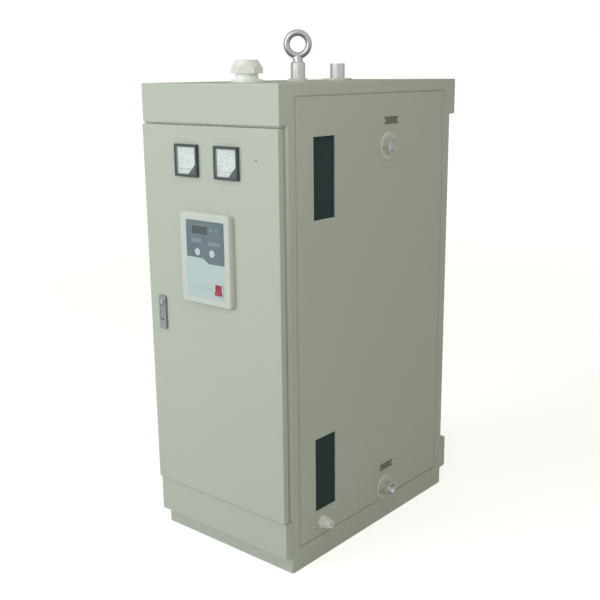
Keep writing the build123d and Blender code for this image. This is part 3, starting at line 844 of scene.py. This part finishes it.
class BOILER_OT_screws(bpy.types.Operator):
    """Cross recess screws on the ports' side panel, the rear panel and the pipe rosettes."""

    bl_idname = "boiler.screws"
    bl_label = "Screws"

    def execute(self, context):
        sizes = context.scene.boiler_details
        low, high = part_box("side_panel_right")
        below, above, front, rear = metres(SIDE_SCREW_INSETS)
        rows = (low[2] + below, high[2] - above)
        columns = (low[1] + front, high[1] - rear)
        side = [((high[0], column, row), TO_RIGHT) for row in rows for column in columns]

        low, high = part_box("rear_panel")
        inset = REAR_SCREW_INSET * MM
        foot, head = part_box("rear_kick")[1][2] + inset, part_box("rear_fascia")[0][2] - inset
        rows = (foot, (low[2] + high[2]) / 2, head)
        columns = (low[0] + inset, high[0] - inset)
        back = [((column, high[1], row), TO_REAR) for row in rows for column in columns]

        for name, places in (("side_panel_screws", side), ("rear_panel_screws", back)):
            settle(spread(pan_head(sizes.screw_radius, sizes.screw_height), places), name)

        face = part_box("port_rosettes")[1][0]
        places = []
        for pipe in PORTS:
            middle = centre_of(pipe)
            for hand in (-1, 1):
                across = hand * sizes.rosette_screw_circle
                rise = across * ROSETTE_SCREW_LEAN
                places.append(((face, middle.y + across, middle.z + rise), TO_RIGHT))
        heads = spread(pan_head(sizes.rosette_screw_radius, sizes.rosette_screw_height), places)
        settle(heads, "rosette_screws", "screw_zinc", "cabinet")
        return {"FINISHED"}


class BOILER_OT_door_frame(bpy.types.Operator):
    """Lips in the seams above and below the door, and slope-edged jambs with seals beside it."""

    bl_idname = "boiler.door_frame"
    bl_label = "Door frame"

    def execute(self, context):
        sizes = context.scene.boiler_details
        fascia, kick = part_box("front_fascia"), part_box("front_kick")
        bottom, top = kick[1][2], fascia[0][2]
        upper = self.lip(sizes, fascia, top - sizes.lip_reach)
        settle(upper, "seam_lip_upper", "seam_lip")
        settle(self.lip(sizes, kick, bottom), "seam_lip_lower", "seam_lip")
        for hand, name in ((-1, "left"), (1, "right")):
            low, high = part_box(f"post_front_{name}")
            outer = high[0] if hand > 0 else low[0]
            jamb = self.jamb(sizes, hand, outer, low[1], bottom, top)
            settle(jamb, f"jamb_{name}")
            seal = self.door_seal(sizes, hand, outer, low[1], bottom, top)
            settle(seal, f"door_seal_{name}", "panel_seal")
        return {"FINISHED"}

    def lip(self, sizes, band, bottom):
        """Strip along a band with its ends turned back, open to the rear."""
        (left, front, _), (right, _, _) = band
        depth, play = metres((12, 2))
        front += sizes.lip_setback
        height = sizes.lip_reach
        strip = block(
            ((left + right) / 2, front + depth / 2, bottom + height / 2),
            (right - left - play, depth, height),
        )
        choose(strip, "FACE", lambda centre, normal: normal.y > 0.9 or abs(normal.z) > 0.9)
        bpy.ops.mesh.delete(type="FACE")
        shut()
        modified(strip, "SOLIDIFY", thickness=sizes.lip_sheet, offset=-1)
        return strip

    def jamb(self, sizes, hand, outer, face, bottom, top):
        """Upright bar on a front post, with its outer front edge sloped."""
        edge = 0.8 * MM
        rear = face + sizes.jamb_chamfer
        front = face - sizes.jamb_depth
        bar = block(
            (outer - hand * sizes.jamb_width / 2, (front + rear) / 2, (bottom + top) / 2),
            (sizes.jamb_width, rear - front, top - bottom),
        )

        def outer_front(middle, along):
            near = abs(middle.x - outer) < MM and middle.y < front + MM
            return near and upright(middle, along)

        choose(bar, "EDGE", outer_front)
        bpy.ops.mesh.bevel(offset=sizes.jamb_chamfer, segments=1)
        shut()
        modified(bar, "BEVEL", width=edge, segments=3, limit_method="ANGLE")
        return bar

    def door_seal(self, sizes, hand, outer, face, bottom, top):
        """Rubber strip on the flat of a jamb, rounded towards the door."""
        width = sizes.jamb_width - sizes.jamb_chamfer - MM
        across = outer - hand * (sizes.jamb_width - width / 2)
        depth = face - sizes.jamb_depth - sizes.door_seal / 2
        strip = block((across, depth, (bottom + top) / 2), (width, sizes.door_seal, top - bottom))
        choose(strip, "EDGE", lambda middle, along: upright(middle, along) and middle.y < depth)
        bpy.ops.mesh.bevel(offset=0.6 * sizes.door_seal, segments=4)
        shut()
        return strip


class BOILER_OT_corner_fillers(bpy.types.Operator):
    """Upright bars that fill the round post corners at the ends of the rear bands."""

    bl_idname = "boiler.corner_fillers"
    bl_label = "Corner fillers"

    def execute(self, context):
        sizes = context.scene.boiler_details
        below_top = 4 * MM
        bars = []
        for band in ("rear_fascia", "rear_kick"):
            low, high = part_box(band)
            for hand, outer in ((-1, low[0]), (1, high[0])):
                bars.append(self.bar(sizes.filler_side, hand, outer, low[2], high[2] - below_top))
        settle(joined(bars), "corner_fillers")
        return {"FINISHED"}

    def bar(self, side, hand, outer, bottom, top):
        """Square bar, flush with the side of its post and eased along its length."""
        proud, play, edge = metres((0.5, 0.05, 0.2))
        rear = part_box("post_rear_right")[1][1] + proud
        bar = block(
            (outer - hand * (side / 2 + play), rear - side / 2, (bottom + top) / 2),
            (side, side, top - bottom),
        )
        choose(bar, "EDGE", upright)
        bpy.ops.mesh.bevel(offset=edge, segments=2)
        shut()
        return bar


class BOILER_OT_panel_seals(bpy.types.Operator):
    """Flat seals in the grooves round the three inset panels."""

    bl_idname = "boiler.panel_seals"
    bl_label = "Panel seals"

    def execute(self, context):
        sizes = context.scene.boiler_details
        for name, axis, hand in (
            ("side_panel_right", 0, 1),
            ("side_panel_left", 0, -1),
            ("rear_panel", 1, 1),
        ):
            seal = self.ring(sizes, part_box(name), axis, hand)
            settle(seal, f"{name}_seal", "panel_seal")
        return {"FINISHED"}

    def ring(self, sizes, box, axis, hand):
        """Frame round a panel: a slab opened between its two inset faces."""
        low, high = (Vector(corner) for corner in box)
        face = high[axis] if hand > 0 else low[axis]
        groove, play = metres((3, 0.1))
        size = high - low + Vector((2 * groove,) * 3)
        middle = (low + high) / 2
        size[axis] = sizes.seal_sheet
        middle[axis] = face - hand * (sizes.seal_depth + sizes.seal_sheet / 2)
        slab = block(middle, size)
        choose(slab, "FACE", lambda centre, normal: abs(normal[axis]) > 0.9)
        bpy.ops.mesh.inset(thickness=groove - play, depth=0, use_individual=True)
        bpy.ops.mesh.bridge_edge_loops()
        shut()
        return slab


class BOILER_OT_labels(bpy.types.Operator):
    """Bare label plates with notched ends over the two water ports."""

    bl_idname = "boiler.labels"
    bl_label = "Port labels"

    def execute(self, context):
        sizes = context.scene.boiler_details
        rim, sunk, edge = metres((1.4, 0.35, 0.2))
        plate = block(
            (sizes.label_thickness / 2, 0, 0),
            (sizes.label_thickness, sizes.label_width, sizes.label_height),
        )
        choose(plate, "EDGE", upright)
        bpy.ops.mesh.subdivide(number_cuts=1)
        shut()
        for side in (-1, 1):
            choose(plate, "VERT", lambda point: abs(point.z) < MM and point.y * side > 0)
            bpy.ops.transform.translate(value=(0, -side * sizes.label_notch, 0))
            shut()
        choose(plate, "FACE", lambda centre, normal: normal.x > 0.9)
        bpy.ops.mesh.inset(thickness=rim, depth=-sunk)
        shut()
        modified(plate, "BEVEL", width=edge, segments=2)
        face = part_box("side_panel_right")[1][0]
        places = []
        for pipe, shift in LABEL_SHIFTS.items():
            middle = centre_of(pipe)
            place = (face, middle.y + shift * MM, middle.z + sizes.label_rise)
            places.append((place, UNTURNED))
        settle(spread(plate, places), "port_labels", "label_plate", "cabinet")
        return {"FINISHED"}


class BOILER_OT_meters(bpy.types.Operator):
    """Scales with plain numbers and needles at zero on both dials."""

    bl_idname = "boiler.meters"
    bl_label = "Meter scales"

    def execute(self, context):
        sizes = context.scene.boiler_details
        low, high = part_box("meter_dials")
        half = (high[2] - low[2]) / 2
        for name, middle, letter, step in (
            ("left", low[0] + half, "A", 20),
            ("right", high[0] - half, "V", 100),
        ):
            pivot = Vector((middle + sizes.pivot_inset, low[1], low[2] + half - sizes.pivot_inset))
            scale = self.scale(sizes.scale_radius, pivot, letter, step)
            settle(scale, f"meter_scale_{name}", "dial_ink", "door")
            needle = self.needle(sizes.scale_radius, pivot)
            settle(needle, f"meter_needle_{name}", "dial_ink", "door")
        return {"FINISHED"}

    def swept(self, size, centre, pivot, steps):
        """Ticks: a small bar turned in steps through a quarter about the needle's pivot."""
        bar = block(centre, size)
        whole(bar)
        bpy.ops.mesh.spin(steps=steps, dupli=True, angle=-QUARTER, center=pivot, axis=(0, 1, 0))
        bpy.ops.mesh.select_all(action="SELECT")
        bpy.ops.mesh.remove_doubles(threshold=0.01 * MM)
        bpy.ops.mesh.normals_make_consistent(inside=False)
        shut()
        return bar

    def scale(self, radius, pivot, letter, step):
        """Ticks, numerals and the unit's letter, slightly raised."""
        raised = 0.3 * MM
        pieces = []
        for reach, thick, steps in TICKS:
            centre = pivot - Vector((radius + reach * MM / 2, 0, 0))
            pieces.append(self.swept((reach * MM, raised, thick * MM), centre, pivot, steps))
        for mark in range(NUMERALS):
            turn = QUARTER * mark / (NUMERALS - 1)
            reach = radius - NUMERAL_INSET * MM
            place = pivot + Vector((-math.cos(turn) * reach, 0, math.sin(turn) * reach))
            pieces.append(self.letters(str(mark * step), place, NUMERAL_SIZE * MM, raised / 2))
        place = pivot + Vector(UNIT_PLACE) * radius
        pieces.append(self.letters(letter, place, UNIT_SIZE * MM, raised / 2))
        return joined(pieces)

    def letters(self, body, place, size, depth):
        """Characters that stand upright and face the front."""
        deselect()
        bpy.ops.object.text_add(location=place, rotation=TO_FRONT)
        text = bpy.context.object.data
        text.body, text.size, text.extrude = body, size, depth
        text.align_x = text.align_y = "CENTER"
        bpy.ops.object.convert(target="MESH")
        return bpy.context.object

    def needle(self, radius, pivot):
        """Slim bar from the pivot to the scale, narrowed at its tip."""
        past, proud, thick, width, edge = metres((2, 1.2, 0.5, 1.5, 0.1))
        tip_share = 0.3
        reach = radius + past
        needle = block(pivot + Vector((-reach / 2, -proud, 0)), (reach, thick, width))
        choose(needle, "FACE", lambda middle, normal: normal.x < -0.9)
        bpy.ops.transform.resize(value=(1, 1, tip_share))
        shut()
        modified(needle, "BEVEL", width=edge, segments=2)
        return needle


class BOILER_OT_lock_details(bpy.types.Operator):
    """Bright cylinder with a keyhole on the lock's button, its bright steel partly a painted
    highlight, and a small plug in the door.
    """

    bl_idname = "boiler.lock_details"
    bl_label = "Lock details"

    def execute(self, context):
        centre = centre_of("lock_plate") + Vector((0, 0, CYLINDER_RISE * MM))
        centre.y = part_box("lock_plate")[0][1]
        radius, depth, rim, step = metres((5.5, 0.6, 1.0, 0.2))
        disc = added("cylinder", vertices=40, radius=radius, depth=depth)
        choose(disc, "FACE", upward)
        bpy.ops.mesh.inset(thickness=rim, depth=0)
        bpy.ops.mesh.inset(thickness=step, depth=-step)
        shut()
        disc = spread(disc, [(centre, TO_FRONT)])
        # The cylinder's bright steel stands partly for a painted highlight on the lock's button
        settle(disc, "lock_cylinder", "eye_steel", "door")
        width, height, depth, edge = metres((1.4, 6, 0.5, 0.6))
        keyhole = block((0, 0, 0), (width, height, depth))
        choose(keyhole, "EDGE", upright)
        bpy.ops.mesh.bevel(offset=edge, segments=4)
        shut()
        keyhole = spread(keyhole, [(centre, TO_FRONT)])
        settle(keyhole, "lock_keyhole", "dark_plug", "door")

        radius, depth, edge, rim, dish, proud = metres((2.6, 1.6, 0.5, 0.7, 0.5, 0.4))
        plug = added("cylinder", vertices=24, radius=radius, depth=depth)
        choose(plug, "FACE", upward)
        bpy.ops.mesh.bevel(offset=edge, segments=3, affect="EDGES")
        shut()
        choose(plug, "FACE", lambda middle, normal: normal.z > 0.99 and middle.z > 0.4 * depth)
        bpy.ops.mesh.inset(thickness=rim, depth=-dish)
        shut()
        across, up = metres(PLUG_PLACE)
        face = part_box("door_panel")[0][1]
        plug = spread(plug, [((across, face - proud, up), TO_FRONT)])
        settle(plug, "door_plug", "screw_zinc", "door")
        return {"FINISHED"}


class BOILER_OT_vent_meshes(bpy.types.Operator):
    """Fine wire mesh in front of the filter pads."""

    bl_idname = "boiler.vent_meshes"
    bl_label = "Vent meshes"

    def execute(self, context):
        sizes = context.scene.boiler_details
        flange, setback, height = metres((10, 5, VENT_HEIGHT))
        for hand, name in ((1, "right"), (-1, "left")):
            low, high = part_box(f"vent_filters_{name}")
            middle = (low[1] + high[1]) / 2
            face = hand * (max(abs(low[0]), abs(high[0])) - setback)
            mesh = self.woven(sizes, high[1] - low[1] - 2 * flange, height)
            rows = (high[2] - flange - height / 2, low[2] + flange + height / 2)
            mesh = spread(mesh, [((face, middle, row), UNTURNED) for row in rows])
            settle(mesh, f"vent_mesh_{name}", "filter", "cabinet")
        return {"FINISHED"}

    def woven(self, sizes, width, height):
        """Upright wires and level wires, one layer on the other."""
        layers = []
        for span, across, turn, along, side in (
            (height, width, UNTURNED, Vector((0, 1, 0)), 1),
            (width, height, TO_FRONT, Vector((0, 0, 1)), -1),
        ):
            count = int(across / sizes.mesh_pitch)
            start = along * (-sizes.mesh_pitch * (count - 1) / 2)
            place = start + Vector((side * sizes.mesh_wire, 0, 0))
            size = {"vertices": 6, "radius": sizes.mesh_wire, "depth": span}
            wire = added("cylinder", location=place, rotation=turn, **size)
            offset = {"use_relative_offset": False, "use_constant_offset": True}
            offset["constant_offset_displace"] = along * sizes.mesh_pitch
            modified(wire, "ARRAY", count=count, **offset)
            layers.append(wire)
        return joined(layers)


class BOILER_OT_threads(bpy.types.Operator):
    """Pipe thread in the mouths of the water ports and the roof stub."""

    bl_idname = "boiler.threads"
    bl_label = "Pipe threads"

    def execute(self, context):
        sizes = context.scene.boiler_details
        setback = 1.5 * MM
        for pipe, axis in (("outlet_pipe", 0), ("inlet_pipe", 0), ("vent_stub", 2)):
            thread = self.helix(sizes, "XYZ"[axis])
            thread.location = centre_of(pipe)
            thread.location[axis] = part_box(pipe)[1][axis] - setback
            settle(thread, f"{pipe}_thread", "pipe_steel", "cabinet")
        return {"FINISHED"}

    def helix(self, sizes, axis):
        """Triangular ridge wound inwards from the mouth."""
        profile = {"vertices": 3, "radius": sizes.thread_depth, "fill_type": "NOTHING"}
        ridge = added("circle", rotation=TO_FRONT, **profile)
        whole(ridge)
        reach = PIPE_BORE * MM
        bpy.ops.transform.translate(value=(0, 0, reach) if axis == "X" else (reach, 0, 0))
        shut()
        wound = {"axis": axis, "screw_offset": -sizes.thread_pitch, "use_merge_vertices": False}
        facets = {"steps": THREAD_STEPS, "render_steps": THREAD_STEPS}
        modified(ridge, "SCREW", iterations=sizes.thread_turns, **wound, **facets)
        whole(ridge)
        bpy.ops.mesh.remove_doubles(threshold=0.01 * MM)
        bpy.ops.mesh.fill_holes(sides=4)
        bpy.ops.mesh.select_all(action="SELECT")
        bpy.ops.mesh.normals_make_consistent(inside=False)
        shut()
        return ridge


class BOILER_PT_panel(bpy.types.Panel):
    """Lists the dressing steps and their settings."""

    bl_idname = "BOILER_PT_panel"
    bl_label = "Boiler dressing"
    bl_space_type = "VIEW_3D"
    bl_region_type = "UI"
    bl_category = "Boiler"

    def draw(self, context):
        for step in STEPS:
            self.layout.operator(step.bl_idname)
        for group in GROUPS:
            settings = getattr(context.scene, group)
            for name in settings.__annotations__:
                self.layout.prop(settings, name)


GROUPS = {
    "boiler_colours": BoilerColours,
    "boiler_stage": BoilerStage,
    "boiler_details": BoilerDetails,
}
STEPS = (
    BOILER_OT_stage,
    BOILER_OT_finishes,
    BOILER_OT_screws,
    BOILER_OT_door_frame,
    BOILER_OT_corner_fillers,
    BOILER_OT_panel_seals,
    BOILER_OT_labels,
    BOILER_OT_meters,
    BOILER_OT_lock_details,
    BOILER_OT_vent_meshes,
    BOILER_OT_threads,
)


CLASSES = (*GROUPS.values(), *STEPS, BOILER_PT_panel)


def register():
    for cls in CLASSES:
        bpy.utils.register_class(cls)
    for name, cls in GROUPS.items():
        setattr(bpy.types.Scene, name, PointerProperty(type=cls))


def unregister():
    for name in GROUPS:
        delattr(bpy.types.Scene, name)
    for cls in reversed(CLASSES):
        bpy.utils.unregister_class(cls)


def main():
    register()
    bpy.ops.boiler.stage()
    bpy.ops.boiler.finishes()
    bpy.ops.boiler.screws()
    bpy.ops.boiler.door_frame()
    bpy.ops.boiler.corner_fillers()
    bpy.ops.boiler.panel_seals()
    bpy.ops.boiler.labels()
    bpy.ops.boiler.meters()
    bpy.ops.boiler.lock_details()
    bpy.ops.boiler.vent_meshes()
    bpy.ops.boiler.threads()


if __name__ == "__main__":
    main()
